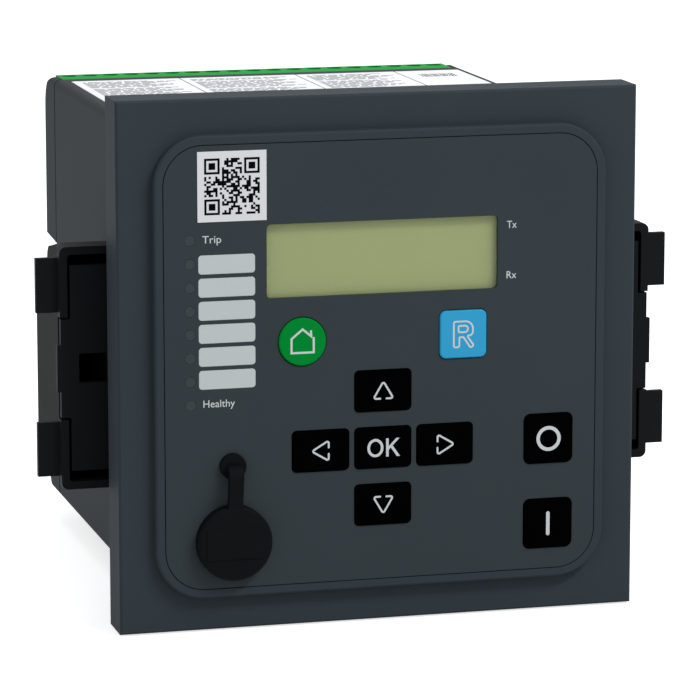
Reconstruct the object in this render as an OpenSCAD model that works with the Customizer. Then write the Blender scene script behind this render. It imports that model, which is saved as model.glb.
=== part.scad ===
// Flush-mounted protection relay: a keypad front in a square frame, a deep case that passes
// through a panel cut-out, terminals at the rear and a sliding clip on each side.
// Millimetres. The origin is the centre of the panel plane, at the back of the front frame.
// +Z is up, +Y runs back through the panel and the keypad faces -Y.

/* [Front frame] */
// Width and height of the square front frame
bezel_w = 152; // [146:0.5:164]
// Depth of the front frame, from the panel plane to its face
bezel_t = 14; // [12.5:0.1:18]
// Bevel along the front edges of the frame
bezel_bevel = 0.6; // [0.2:0.1:1.5]
// Width of the flat border round the raised centre
frame_border = 10; // [8:0.5:14]
// Corner radius of the raised centre
plateau_r = 14; // [9:0.5:20]
// How far the raised centre stands proud of the frame
plateau_h = 3.2; // [2:0.1:5]
// Bevel along the edge of the raised centre
plateau_bevel = 0.5; // [0.2:0.1:1]
// Width of the ridge round the keypad plate
ridge_w = 2.75; // [2:0.05:4]
// Wall behind the keypad plate
front_wall = 2.5; // [1.5:0.1:4]
// Depth that the case enters the back of the frame
case_seat = 3; // [2:0.5:4]
// Width of the sealing cord at the back of the frame
gasket_w = 4; // [2:0.5:5]
// Depth of the sealing cord's groove
gasket_t = 1.5; // [1:0.1:3]

/* [Keypad plate] */
// Thickness of the keypad plate
overlay_t = 1; // [0.6:0.1:1.8]
// Gap between the keypad plate and the ridge
overlay_gap = 0.25; // [0.15:0.05:0.5]
// Gap between the writing fields and the display opening
lcd_gap = 3.3; // [1:0.1:6]
// Height of the display opening
lcd_h = 21; // [16:0.2:24]
// Distance from the plate's upper edge to the display's centre
lcd_drop = 33.35; // [31:0.05:36]
// Margin of the display module round its opening
lcd_margin = 3; // [2:0.5:3.5]
// Thickness of the clear display window
window_t = 1; // [0.6:0.1:1.5]
// Side of the square white label
code_w = 19.8; // [15:0.2:20]
// Thickness of the stick-on labels
label_t = 0.2; // [0.1:0.05:0.4]
// Width of a writing field
mark_w = 16.4; // [12:0.2:17]
// Height of a writing field
mark_h = 5.5; // [4:0.1:6]
// Depth of a writing field's insert
mark_t = 0.3; // [0.2:0.05:0.5]
// Spacing of the writing fields
mark_pitch = 6.55; // [6.3:0.05:6.8]
// Number of writing fields
mark_n = 6; // [2:1:6]
// Diameter of an indicator lens
lens_d = 3; // [2:0.1:4]
// Spacing of the indicator lenses
lens_pitch = 6.69; // [5:0.01:7]
// Number of indicator lenses
lens_n = 8; // [2:1:8]

/* [Keys] */
// Width of an arrow key
nav_w = 16.4; // [12:0.1:16.6]
// Height of an arrow key
nav_h = 11.7; // [9:0.1:13]
// Corner radius of an arrow key
nav_r = 1.2; // [0.8:0.1:2.5]
// Sideways spacing of the arrow keys
nav_dx = 18.3; // [18.2:0.05:20]
// Upright spacing of the arrow keys
nav_dz = 16.5; // [15.5:0.1:17]
// Distance from the plate's lower edge to the arrow keys' centre
nav_rise = 38.25; // [36:0.05:40]
// Side of the square control keys
ctrl_w = 14.3; // [10:0.1:16]
// Corner radius of the control keys
ctrl_r = 1.8; // [0.8:0.1:3]
// Upright spacing of the control keys
ctrl_dz = 25; // [19:0.5:26]
// Diameter of the round home key and side of the square reset key
round_d = 13.75; // [10:0.05:15]
// Sideways place of the home and reset keys
round_x = 23.6; // [20:0.1:30]
// Distance from the display's centre down to the home and reset keys
round_drop = 23.2; // [22:0.1:24]
// How far the keys stand proud of the plate
key_proud = 0.6; // [0.4:0.1:1]
// Travel of a key
key_travel = 0.8; // [0.4:0.1:1]
// Gap round a key
key_gap = 0.25; // [0.2:0.05:0.4]
// Bevel along a key's front edges
key_bevel = 0.3; // [0.15:0.05:0.4]
// Lip that holds a key behind the wall
key_lip = 0.7; // [0.5:0.05:0.75]

/* [Service socket] */
// Distance from the plate's left edge to the socket and its cap
cap_inset = 19.25; // [17:0.05:22]
// Distance from the plate's lower edge to the socket and its cap
cap_rise = 13.45; // [12:0.05:16]
// Diameter of the cap
cap_d = 21.6; // [20:0.1:23]
// Thickness of the cap
cap_t = 3.8; // [2.5:0.1:5]
// Depth of the cap's plug
plug_t = 2; // [1:0.1:2.2]
// Width of the cap's strap
strap_w = 4.2; // [3:0.1:6]
// Thickness of the strap
strap_t = 1.6; // [1.2:0.1:1.8]
// Distance from the cap's centre up to the strap's anchor
anchor_rise = 21.8; // [20:0.1:24]
// Diameter of the anchor's head
anchor_d = 7.5; // [6:0.1:8.5]
// Width of the socket shell
socket_w = 13.2; // [12:0.1:14]
// Height of the socket shell
socket_h = 5.8; // [5:0.1:7]

/* [Case] */
// How far the frame reaches past the sides of the case
frame_lap_x = 10; // [9:0.1:14]
// How far the frame reaches past the top and the bottom of the case
frame_lap_z = 10.5; // [9:0.1:14]
// Radius of the case's upper long edges
case_r = 2.4; // [1:0.1:4]
// Radius of the case's lower long edges
case_foot_r = 0.5; // [0.3:0.1:2]
// Drop of the lower wall of the case below an even place
case_low = 0.7; // [0:0.1:2]
// Wall of the case
case_wall = 2.5; // [2:0.1:3]
// Depth of the case behind the panel plane
case_d = 127.5; // [116:0.5:150]
// Distance from the top label to the sides of the case
top_label_side = 3.9; // [2.5:0.1:20]
// Length of the top label
top_label_l = 100; // [60:1:104]
// Distance from the top label to the case's rear edge
top_label_back = 7.5; // [4:0.5:12]

/* [Rear] */
// Depth of the rear cover
cover_d = 16.2; // [15.5:0.1:22]
// Wall of the rear cover
cover_wall = 2.4; // [2:0.1:3.5]
// Height of the rear cover's upper half, at its rear
cover_h = 50.2; // [45:0.1:54]
// Drop of that half's lower edge, from its rear to the case
cover_drop = 1.1; // [0:0.1:2]
// Radius of the cover's top rear edge
cover_r = 9.5; // [5:0.5:10]
// Room for a cheek of the rear cover at each end of the control terminals
cheek_w = 3; // [2.5:0.1:8]
// Spacing of the control terminals
pole_pitch = 6.6; // [5.5:0.05:8]
// Height of the control terminal plug
plug_h = 15.8; // [14:0.1:18]
// Diameter of a terminal's screw hole
pole_hole_d = 4.8; // [3.4:0.1:5.2]
// Distance from the bottom of the case to the current terminal block
block_rise = 9.2; // [8.5:0.1:12]
// Number of current terminals
cell_n = 10; // [4:1:10]
// Thickness of a barrier rib
rib_t = 2.4; // [1.6:0.1:3]
// How far the barrier ribs stand behind the rear cover
rib_d = 20; // [12:0.2:26]
// Distance from the block's lower edge to the barrier ribs
rib_rise = 2.3; // [1:0.1:10]
// Height of the barrier ribs
rib_h = 50; // [36:0.5:54]

/* [Side clips] */
// Thinnest panel that the clips reach
panel_min = 1.4; // [1:0.1:3]
// Height of a clip
clip_h = 70.2; // [64:0.1:80]
// Height of the clips' centre
clip_z = -2.85; // [-8:0.05:4]
// Reach of a clip beyond the case
clip_reach = 21.95; // [19:0.05:26]
// Wall of a clip
clip_wall = 2.3; // [1.8:0.1:3]
// Corner radius of a clip's rim
clip_r = 2; // [1.5:0.1:4]
// Length of a clip along the case
clip_l = 44; // [36:1:56]
// Reach of an ear beyond the rim
ear_reach = 6.2; // [4:0.1:9]
// Height of an ear
ear_h = 15.7; // [10:0.1:17]
// Thickness of an ear
ear_t = 2; // [1.5:0.1:3]
// Forward travel of a clip, to the thinnest panel
clip_forward = 7; // [4:0.5:10]

/* [Inside] */
// Thickness of the circuit boards
board_t = 1.6; // [1:0.1:2]
// Length of the spacers between the front boards
spacer_l = 9.6; // [8:0.1:14]
// Distance from the case's ceiling to the upper board's top face
io_drop = 21.4; // [20:0.2:25]
// Distance from the case's floor to the lower board's top face
ct_rise = 14.6; // [12:0.2:20]

/* [Hidden] */
$fn = 48;

// Shared fits, overlaps and how far a cut runs past the face that it opens
overlap = 0.02;
cut_past = 1;
seat_fit = 0.1;
side_fit = 0.3;
inlay_fit = 0.05;
lip_gap = 0.3;
mat_gap = 0.4;

// Levels along Y, from the keypad back
lip_t = 1;
mat_t = 1;
y_face = -bezel_t;
y_plate = y_face - plateau_h;
y_plate_back = y_plate + overlay_t;
y_wall_back = y_plate_back + front_wall;
y_board = y_wall_back + lip_gap + lip_t + key_travel + mat_gap + mat_t;
y_board_back = y_board + board_t;
y_proc = y_board_back + spacer_l;
y_proc_back = y_proc + board_t;
y_seam = case_d;
y_cover = case_d + cover_d;

// Front frame and keypad plate
plateau_w = bezel_w - 2 * frame_border;
gasket_edge = 2.5;
gasket_out = bezel_w / 2 - gasket_edge;
gasket_r = 3;
cavity_wall = 3;
cavity_w = plateau_w - 2 * cavity_wall;
cavity_r = 3;
overlay_w = plateau_w - 2 * ridge_w;
overlay_r = plateau_r - ridge_w;
lens_inset = 7.35;
mark_offset = 10.6;
lens_x = lens_inset - overlay_w / 2;
mark_x = lens_x + mark_offset;
mark_r = 1;
lcd_w = -2 * (mark_x + mark_w / 2 + lcd_gap);
lcd_z = overlay_w / 2 - lcd_drop;
lcd_module_w = lcd_w + 2 * lcd_margin;
lcd_module_h = lcd_h + 2 * lcd_margin;
lcd_r = 1.3;
lcd_foot_d = 4;
lcd_foot_h = 1;
lens_rise = 6.8;
lens_z = lcd_z + lens_rise;
mark_drop = 0.15;
mark_z = lcd_z - mark_drop;
code_offset = 1.6;
code_inset = 11.55;
code_x = mark_x + code_offset;
code_z = overlay_w / 2 - code_inset;
ctrl_inset = 13.95;
ctrl_x = overlay_w / 2 - ctrl_inset;
mat_margin = 2;

// Places of the keys, used by the keys and by their holes
nav_z = nav_rise - overlay_w / 2;
round_z = lcd_z - round_drop;
nav_at = [[0, nav_z + nav_dz], [0, nav_z - nav_dz], [-nav_dx, nav_z], [nav_dx, nav_z], [0, nav_z]];
ctrl_at = [[ctrl_x, nav_z], [ctrl_x, nav_z - ctrl_dz]];
home_at = [-round_x, round_z];
reset_at = [round_x, round_z];

// Front boards, their bosses and screws
boss_x = 25;
boss_inset = 4;
boss_z = cavity_w / 2 - boss_inset;
boss_d = 6;
thread_d = 3;
board_edge = 1.5;
spacer_d = 6.2;
stud_l = 3;
thread_spare = 1;
screw_head_d = 5.4;
screw_head_h = 2;

// Service socket, cap and strap
cap_x = cap_inset - overlay_w / 2;
cap_z = cap_rise - overlay_w / 2;
anchor_z = cap_z + anchor_rise;
shell_t = 0.5;
contact_t = 1.8;
contact_side = 1.5;
contact_back = 1;
socket_base = 3;
cap_cover = 1.4;
socket_hole_r = cap_d / 2 - cap_cover;
anchor_hole_r = 2.2;
anchor_t = 1.6;
barb_t = 1;
barb_out = 0.8;
plug_clear = 0.6;
cap_clear = 0.2;
cap_edge = 0.8;
pad_w = 16.8;
pad_h = 8.8;
pad_r = 0.5;
pad_t = 0.25;
strap_r = 1.6;
strap_sink = 0.4;
strap_root = 2;
knuckle_y = y_plate - anchor_t - side_fit - strap_t / 2;

// Case, rear boards and what stands on them
case_w = bezel_w - 2 * frame_lap_x;
case_h = bezel_w - 2 * frame_lap_z;
top_label_w = case_w - 2 * top_label_side;
inner_w = case_w - 2 * case_wall;
inner_h = case_h - 2 * case_wall;
inner_r = 0.5;
io_z = inner_h / 2 - io_drop;
ct_z = ct_rise - inner_h / 2;
connector_w = 44;
connector_h = 8;
connector_l = 9.4;
board_back = 2;
board_w = inner_w - 2 * side_fit;
board_y0 = y_proc_back + connector_l;
board_y1 = y_seam - board_back;
guide_w = 2;
guide_t = 1.5;
post_d = 6;
post_l = 16;
post_inset = 6;
post_rise = 7;
post_floor = 5;
screw_sink = 3;
post_x = case_w / 2 - post_inset;
cover_z = case_h / 2 - cover_h;
post_z = [cover_z + post_rise, post_floor - case_h / 2];
post_seat = [y_cover, y_cover - screw_sink];
relay_w = 10.2;
relay_l = 28.6;
relay_h = 15.4;
relay_r = 0.8;
relay_rim_w = 0.5;
relay_rim_h = 1.5;
relay_pitch = 17;
relay_side = 9;
relay_n = floor((board_w - 2 * relay_side) / relay_pitch);
relay_back = 34;
ct_r = 11;
ct_bore = 4.5;
ct_l = 12;
ct_pitch = 24.5;
ct_n = floor(board_w / ct_pitch);
ct_back = 26;
ct_lift = 1;
ct_foot_w = 15.4;
ct_foot_h = 4;
core_w = 34;
core_l = 20;
core_h = 26;
coil_w = 24;
coil_l = 34;
coil_r = 4;
coil_inset = 4;
core_inset = 35.2;
core_x = core_inset - board_w / 2;
core_front = 34;

// Rear cover and control terminals
seam_t = 0.6;
seam_w = 1;
plate_t = 2.4;
plate_inset = 3.5;
strip_gap = 0.3;
shelf_gap = 0.3;
plug_ends = 0.6;
plug_drop = 0.2;
plug_inset = 1.1;
pole_n = floor((case_w - 2 * cheek_w) / pole_pitch);
plug_w = pole_n * pole_pitch + plug_ends;
plug_z1 = case_h / 2 - plug_drop;
plug_z0 = plug_z1 - plug_h;
plug_y0 = y_seam + side_fit;
plug_y1 = y_cover - plug_inset;
plug_flat = 13.4;
plug_slope_h = 3;
cheek_x = plug_w / 2 + side_fit;
header_w = inner_w - 2 * (guide_w + side_fit);
header_l = 11;
header_step = 1;
header_drop = 4;
well_edge = 3.2;
well_y = plug_y0 + plug_flat - well_edge;
well_depth = 7;
screw_rise = 3;
slot_w = 0.7;
slot_depth = 0.7;
entry_w = 3.8;
entry_h = 4.4;
entry_l = 9;
entry_rise = 4.2;
entry_z = plug_z0 + entry_rise;
earth_inset = 22;
earth_rise = 13;
earth_x = case_w / 2 - earth_inset;
earth_z = cover_z + earth_rise;
earth_d = 4;
earth_washer_d = 10;
earth_shank = 6;

// Current terminals
block_z0 = block_rise - case_h / 2;
rib_z0 = block_z0 + rib_rise;
block_gap = 0.2;
block_z1 = cover_z - cover_drop - block_gap;
block_slope = 2.5;
block_r = 4.6;
block_proud = 0.5;
strip_r = 4.5;
rib_root = 1;
cell_rise = 3.6;
cell_lift = 3;
cell_y = y_cover + cell_rise;
cell_pitch = (case_w - rib_t) / cell_n;
cell_z = rib_z0 + rib_h / 2 + cell_lift;
clamp_w = 8.4;
clamp_t = 1.2;
current_d = 4;
current_head_d = 7.4;
current_head_h = 2.8;
current_shank_l = 8;

// Clips and rails
rail_neck = 9;
rail_head = 12;
rail_neck_t = 3;
rail_head_t = 1.8;
rail_y0 = 12;
rail_end = 38.5;
rail_y1 = case_d - rail_end;
tooth_pitch = 3;
tooth_h = 0.6;
clip_fit = 0.4;
clip_y = panel_min + clip_forward;
clip_x0 = case_w / 2 + clip_fit;
clip_x1 = case_w / 2 + clip_reach;
rim_t = 3.2;
rim_inner_r = 1;
roof_l = 8.2;
tail_drop = 7.5;
tail_w = 6;
leaf_gap = 3.05;
leaf_back = 0.3;
leaf_t = 2;
leaf_side = 0.7;
tongue_h = 29.6;
tongue_end = 0.5;
tongue_side = 0.2;
bump_h = 13.4;
bump_reach = 0.85;
window_x = 5.5;
window_w = 8.4;
ear_z = 23.75;

// Extrude an upright sketch (x, z) from y0 back to y1
module slab(y0, y1) {
    translate([0, y1, 0]) rotate([90, 0, 0]) linear_extrude(height = y1 - y0) children();
}

// Extrude a side view (y, z) from x0 across to x1
module bar(x0, x1) {
    translate([x0, 0, 0]) rotate([90, 0, 90]) linear_extrude(height = x1 - x0) children();
}

// Extrude a plan (x, y) from z0 up to z1
module tier(z0, z1) {
    translate([0, 0, z0]) linear_extrude(height = z1 - z0) children();
}

// Rectangle with round corners
module rounded(w, h, r) {
    square([w, h - 2 * r], center = true);
    square([w - 2 * r, h], center = true);
    for (sx = [-1, 1], sz = [-1, 1])
        translate([sx * (w / 2 - r), sz * (h / 2 - r)]) circle(r);
}

// Move a sketch to a point
module at(p) translate([p[0], p[1]]) children();

// Outline of a key, grown by a margin on all sides
module key_outline(kind, grow) {
    if (kind == "nav") rounded(nav_w + 2 * grow, nav_h + 2 * grow, nav_r + grow);
    if (kind == "ctrl") rounded(ctrl_w + 2 * grow, ctrl_w + 2 * grow, ctrl_r + grow);
    if (kind == "reset") rounded(round_d + 2 * grow, round_d + 2 * grow, ctrl_r + grow);
    if (kind == "home") circle(round_d / 2 + grow);
}

// Openings that the keypad plate and the wall behind it share
module front_openings() {
    for (p = nav_at) at(p) key_outline("nav", key_gap);
    for (p = ctrl_at) at(p) key_outline("ctrl", key_gap);
    at(home_at) key_outline("home", key_gap);
    at(reset_at) key_outline("reset", key_gap);
    lens_places() circle(lens_d / 2 + inlay_fit);
    at([cap_x, cap_z]) circle(socket_hole_r);
    at([cap_x, anchor_z]) circle(anchor_hole_r);
}

// Places of the indicators, in a column
module lens_places() {
    for (i = [0 : lens_n - 1]) translate([lens_x, lens_z - i * lens_pitch]) children();
}

// Places of the writing fields, in a column
module mark_places() {
    for (i = [0 : mark_n - 1]) translate([mark_x, mark_z - i * mark_pitch]) children();
}

// Places of the frame's bosses, for a sketch
module boss_places() {
    for (sx = [-1, 1], sz = [-1, 1]) translate([sx * boss_x, sz * boss_z]) children();
}

// Side view of the frame: bevelled at the front, square at the back
module frame_profile() {
    h = bezel_w / 2;
    b = bezel_bevel;
    polygon([[0, -h], [0, h], [y_face + b, h], [y_face, h - b], [y_face, b - h], [y_face + b, -h]]);
}

// Outline of the raised centre, drawn in by an inset
module plateau_outline(inset) {
    rounded(plateau_w - 2 * inset, plateau_w - 2 * inset, plateau_r - inset, $fn = 64);
}

// Ring of the sealing cord, or of its groove where fit is 0
module gasket_sketch(fit) {
    out = 2 * (gasket_out - fit);
    in = 2 * (gasket_out - gasket_w + fit);
    difference() {
        rounded(out, out, gasket_r + gasket_w - fit);
        rounded(in, in, gasket_r + fit);
    }
}

// Front frame: square moulding with a raised centre, hollow behind the keypad
module bezel() color("#363d42") {
    difference() {
        union() {
            intersection() {
                bar(-bezel_w / 2, bezel_w / 2) frame_profile();
                rotate([0, 90, 0]) bar(-bezel_w / 2, bezel_w / 2) frame_profile();
            }
            slab(y_plate + plateau_bevel, y_face + overlap) rounded(plateau_w, plateau_w, plateau_r);
            hull() {
                slab(y_plate, y_plate + overlap) plateau_outline(plateau_bevel);
                slab(y_plate + plateau_bevel, y_plate + plateau_bevel + overlap) plateau_outline(0);
            }
        }
        slab(y_plate - overlap, y_plate_back)
            rounded(overlay_w + 2 * overlay_gap, overlay_w + 2 * overlay_gap, overlay_r + overlay_gap);
        slab(y_plate - overlap, y_wall_back + overlap) front_openings();
        slab(y_plate - overlap, y_wall_back + overlap) translate([0, lcd_z])
            square([lcd_module_w + 2 * side_fit, lcd_module_h + 2 * side_fit], center = true);
        slab(y_wall_back, overlap) rounded(cavity_w, cavity_w, cavity_r);
        slab(-case_seat, overlap) case_outline(-seat_fit);
        slab(-gasket_t, overlap) gasket_sketch(0);
    }
    slab(y_wall_back - overlap, y_board) boss_places() difference() {
        circle(boss_d / 2);
        circle(thread_d / 2);
    }
}

// Sealing cord in its groove, level with the panel plane
module panel_gasket() color("#1a1a1c") slab(-gasket_t, 0) gasket_sketch(inlay_fit);

// Keypad plate: thin moulded sheet that lies inside the ridge
module front_overlay() color("#363d42") difference() {
    slab(y_plate, y_plate_back) difference() {
        rounded(overlay_w, overlay_w, overlay_r);
        front_openings();
        translate([0, lcd_z]) rounded(lcd_w, lcd_h, lcd_r);
    }
    slab(y_plate - overlap, y_plate + mark_t) mark_places() rounded(mark_w, mark_h, mark_r);
}

// Clear window behind the plate
module lcd_window() color("#dfe6dc", 0.3) slab(y_plate_back, y_plate_back + window_t)
    translate([0, lcd_z]) rounded(lcd_module_w, lcd_module_h, lcd_r);

// Display module: glass on a carrier that stands on the board
module lcd_panel() color("#97a071") translate([0, 0, lcd_z]) {
    slab(y_plate_back + window_t, y_board - lcd_foot_h) rounded(lcd_module_w, lcd_module_h, lcd_r);
    slab(y_board - lcd_foot_h - overlap, y_board)
        for (sx = [-1, 1], sz = [-1, 1])
            translate([sx * lcd_w / 2, sz * lcd_h / 2]) circle(lcd_foot_d / 2);
}

// Light guides of the indicators, from the board to the plate's surface
module indicator_lenses() color("#4a4f54") slab(y_plate, y_board) lens_places() circle(lens_d / 2);

// Inserts of the writing fields
module marking_fields() color("#b9bfbf")
    slab(y_plate, y_plate + mark_t) mark_places()
        rounded(mark_w - 2 * inlay_fit, mark_h - 2 * inlay_fit, mark_r - inlay_fit);

// Square white label stuck on the plate
module code_label() color("#e4e5e8")
    slab(y_plate - label_t, y_plate) translate([code_x, code_z]) square(code_w, center = true);

// A key: bevelled cap, straight body and a lip that keeps it behind the wall
module key_solid(kind, p) {
    y_top = y_plate - key_proud;
    y_edge = y_top + key_bevel;
    y_lip = y_wall_back + lip_gap;
    translate([p[0], 0, p[1]]) {
        hull() {
            slab(y_top, y_top + overlap) key_outline(kind, -key_bevel, $fn = 32);
            slab(y_edge, y_edge + overlap) key_outline(kind, 0, $fn = 32);
        }
        slab(y_edge, y_lip + overlap) key_outline(kind, 0);
        slab(y_lip, y_lip + lip_t) key_outline(kind, key_lip);
    }
}

// The keys: arrows round the confirm key, home and reset above, open and close at the right
module key_up() color("#08080a") key_solid("nav", nav_at[0]);
module key_down() color("#08080a") key_solid("nav", nav_at[1]);
module key_left() color("#08080a") key_solid("nav", nav_at[2]);
module key_right() color("#08080a") key_solid("nav", nav_at[3]);
module key_ok() color("#08080a") key_solid("nav", nav_at[4]);
module key_home() color("#018230") key_solid("home", home_at);
module key_reset() color("#36a2d2") key_solid("reset", reset_at);
module key_open() color("#08080a") key_solid("ctrl", ctrl_at[0]);
module key_close() color("#08080a") key_solid("ctrl", ctrl_at[1]);

// Switch mat: silicone sheet on the board, under all the keys
module keypad_mat() color("#55585c") {
    x0 = -round_x - round_d / 2 - mat_margin;
    x1 = ctrl_x + ctrl_w / 2;
    z0 = nav_z - ctrl_dz - ctrl_w / 2 + mat_margin;
    z1 = round_z + round_d / 2 - mat_margin;
    slab(y_board - mat_t, y_board) translate([(x0 + x1) / 2, (z0 + z1) / 2])
        rounded(x1 - x0, z1 - z0, mat_margin);
}

// Board under the keypad and the display, with a cut-out for the service socket
module display_board() color("#1f5a36") slab(y_board, y_board_back) difference() {
    rounded(cavity_w - 2 * board_edge, cavity_w - 2 * board_edge, board_edge);
    boss_places() circle(thread_d / 2 + side_fit);
    at([cap_x, cap_z]) square([socket_w + 2 * board_edge, socket_h + 2 * board_edge], center = true);
}

// Six-sided spacers between the front boards, screwed into the frame's bosses
module board_spacers() color("#b08d45") {
    difference() {
        slab(y_board_back, y_proc) boss_places() circle(spacer_d / 2, $fn = 6);
        slab(y_proc - stud_l - thread_spare, y_proc + overlap) boss_places() circle(thread_d / 2);
    }
    slab(y_board - stud_l, y_board_back + overlap) boss_places() circle(thread_d / 2 - seat_fit / 2);
}

// A pan-head screw with a cross slot that enters towards -Y, its head seated at y
module pan_screw(y, head_d, head_h, shank_d, shank_l) {
    r = head_d / 2;
    arm_l = 0.7 * head_d;
    arm_w = 0.4 * head_h;
    flank_h = 0.5 * head_h;
    crown_r = 0.7 * r;
    slab(y - shank_l, y + overlap) circle(shank_d / 2);
    difference() {
        translate([0, y, 0]) rotate([-90, 0, 0]) rotate_extrude()
            polygon([[0, 0], [r, 0], [r, flank_h], [crown_r, head_h], [0, head_h]]);
        slab(y + flank_h, y + head_h + overlap) {
            square([arm_l, arm_w], center = true);
            square([arm_w, arm_l], center = true);
        }
    }
}

// Screws that hold the processor board on its spacers
module board_screws() color("#b9bcc0") boss_places_solid()
    pan_screw(y_proc_back, screw_head_d, screw_head_h, thread_d - seat_fit, stud_l);

// The same places, for a solid
module boss_places_solid() {
    for (sx = [-1, 1], sz = [-1, 1]) translate([sx * boss_x, 0, sz * boss_z]) children();
}

// Metal shell of the service socket, open to the front
module socket_shell() color("#a9adb1") translate([cap_x, 0, cap_z]) difference() {
    slab(y_wall_back + lip_gap, y_proc) square([socket_w, socket_h], center = true);
    slab(y_wall_back + lip_gap - overlap, y_proc - shell_t)
        square([socket_w - 2 * shell_t, socket_h - 2 * shell_t], center = true);
}

// Contact tongue inside the service socket
module socket_insert() color("#202226") translate([cap_x, 0, cap_z]) {
    slab(y_wall_back + lip_gap + contact_back, y_proc - shell_t)
        square([socket_w - 2 * contact_side, contact_t], center = true);
    slab(y_proc - shell_t - socket_base, y_proc - shell_t)
        square([socket_w - 2 * shell_t, socket_h - 2 * shell_t], center = true);
}

// Rubber anchor of the strap, pushed through the plate and the wall
module cap_anchor() color("#17181a") translate([cap_x, 0, anchor_z]) {
    slab(y_plate - anchor_t, y_plate) circle(anchor_d / 2);
    slab(y_plate - overlap, y_wall_back + lip_gap) circle(anchor_hole_r - seat_fit);
    slab(y_wall_back, y_wall_back + barb_t) circle(anchor_hole_r + barb_out);
}

// Rubber cap with its plug and strap. The strap ends in a round knuckle at the anchor.
module socket_cap() color("#17181a") translate([cap_x, 0, 0]) {
    y_back = y_plate - cap_clear;
    y_front = y_back - cap_t;
    bow = strap_r + strap_t;
    bow_z = anchor_z + strap_t / 2 - bow;
    root_z = cap_z + cap_d / 2 - strap_root;
    translate([0, y_back, cap_z]) rotate([90, 0, 0]) rotate_extrude() polygon([
        [0, 0], [cap_d / 2, 0], [cap_d / 2, cap_t - cap_edge], [cap_d / 2 - cap_edge, cap_t], [0, cap_t]
    ]);
    slab(y_back - overlap, y_plate + plug_t) translate([0, cap_z]) circle(socket_hole_r - plug_clear);
    slab(y_front - pad_t, y_front + overlap) translate([0, cap_z]) rounded(pad_w, pad_h, pad_r);
    bar(-strap_w / 2, strap_w / 2) {
        translate([knuckle_y, anchor_z]) circle(strap_t / 2);
        intersection() {
            translate([knuckle_y, bow_z]) difference() {
                circle(bow);
                circle(strap_r);
            }
            translate([knuckle_y - bow, bow_z]) square(bow);
        }
        polygon([
            [knuckle_y - bow, bow_z + overlap], [knuckle_y - strap_r, bow_z + overlap],
            [y_front + strap_t + strap_sink, root_z], [y_front + strap_sink, root_z]
        ]);
    }
}

// Board behind the front, which drives the keypad and the rear boards
module processor_board() color("#1f5a36") slab(y_proc, y_proc_back) difference() {
    rounded(inner_w - 2 * board_edge, inner_h - 2 * board_edge, board_edge);
    boss_places() circle(thread_d / 2 + seat_fit);
}

// Plug connectors from the processor board to the two rear boards
module board_connectors() color("#d8d6cc") {
    for (z = [io_z, ct_z])
        slab(y_proc_back, board_y0) translate([0, z - board_t / 2])
            square([connector_w, connector_h], center = true);
}

// Outline of the case, drawn in by an inset: round upper corners, nearly square lower ones
module case_outline(inset) {
    w = case_w / 2 - inset;
    h = case_h / 2 - inset;
    low = h + case_low;
    r = max(case_r - inset, inner_r);
    foot = max(case_foot_r - inset, inner_r);
    translate([-w, foot - low]) square([2 * w, low + h - foot - r]);
    translate([r - w, 0]) square([2 * (w - r), h]);
    translate([foot - w, -low]) square([2 * (w - foot), low]);
    for (s = [-1, 1]) {
        translate([s * (w - r), h - r]) circle(r);
        translate([s * (w - foot), foot - low]) circle(foot);
    }
}

// Case: round-edged tube with board guides and screw posts inside and a toothed rail on each side
module case() color("#45494c") difference() {
    union() {
        difference() {
            slab(-case_seat, y_seam) case_outline(0);
            slab(-case_seat - overlap, y_seam + overlap) case_outline(case_wall);
        }
        for (side = [0, 1]) mirror([side, 0, 0]) {
            side_rail();
            for (z = [io_z, ct_z]) board_guides(z);
            for (z = post_z) screw_post(z);
        }
    }
    slab(y_seam - post_l, y_seam + overlap) post_places() circle(thread_d / 2);
}

// Places of the cover's screws, for a sketch
module post_places() {
    for (side = [-1, 1], z = post_z) translate([side * post_x, z]) children();
}

// Rail with a narrow neck and a toothed head, which the clip's slot runs on
module side_rail() {
    x0 = case_w / 2;
    x1 = x0 + rail_neck_t;
    x2 = x1 + rail_head_t;
    n = floor((rail_y1 - rail_y0) / tooth_pitch);
    tier(clip_z - rail_neck, clip_z + rail_neck)
        translate([x0 - overlap, rail_y0]) square([rail_neck_t + 2 * overlap, rail_y1 - rail_y0]);
    tier(clip_z - rail_head, clip_z + rail_head) polygon(concat(
        [[x1, rail_y0 + n * tooth_pitch], [x1, rail_y0]],
        [for (i = [0 : n - 1], k = [0, 1])
            [x2 - k * tooth_h, rail_y0 + (i + k) * tooth_pitch - k * overlap]],
        [[x2 - tooth_h, rail_y0 + n * tooth_pitch]]
    ));
}

// Two ribs that hold a board's edge
module board_guides(z) {
    for (z0 = [z + side_fit, z - board_t - side_fit - guide_t])
        bar(inner_w / 2 - guide_w, inner_w / 2 + overlap)
            translate([board_y0, z0]) square([board_y1 - board_y0, guide_t]);
}

// Post on the inside of the case for a cover screw, trimmed to the case's outline
module screw_post(z) {
    slab(y_seam - post_l, y_seam) intersection() {
        translate([post_x, z]) {
            circle(post_d / 2);
            translate([0, -post_d / 2]) square([post_inset, post_d]);
        }
        case_outline(case_wall / 2);
    }
}

// White label on top of the case
module top_label() color("#f4f5f5")
    translate([0, y_seam - top_label_back - top_label_l / 2, case_h / 2 + label_t / 2])
        cube([top_label_w, top_label_l, label_t], center = true);

// Rear board slid into its guides
module rear_board(z) {
    tier(z - board_t, z) translate([-board_w / 2, board_y0]) square([board_w, board_y1 - board_y0]);
}

// Upper board with the relays and the control terminals, and lower one with the transformers
module io_board() color("#1f5a36") rear_board(io_z);
module current_board() color("#1f5a36") rear_board(ct_z);

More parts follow.
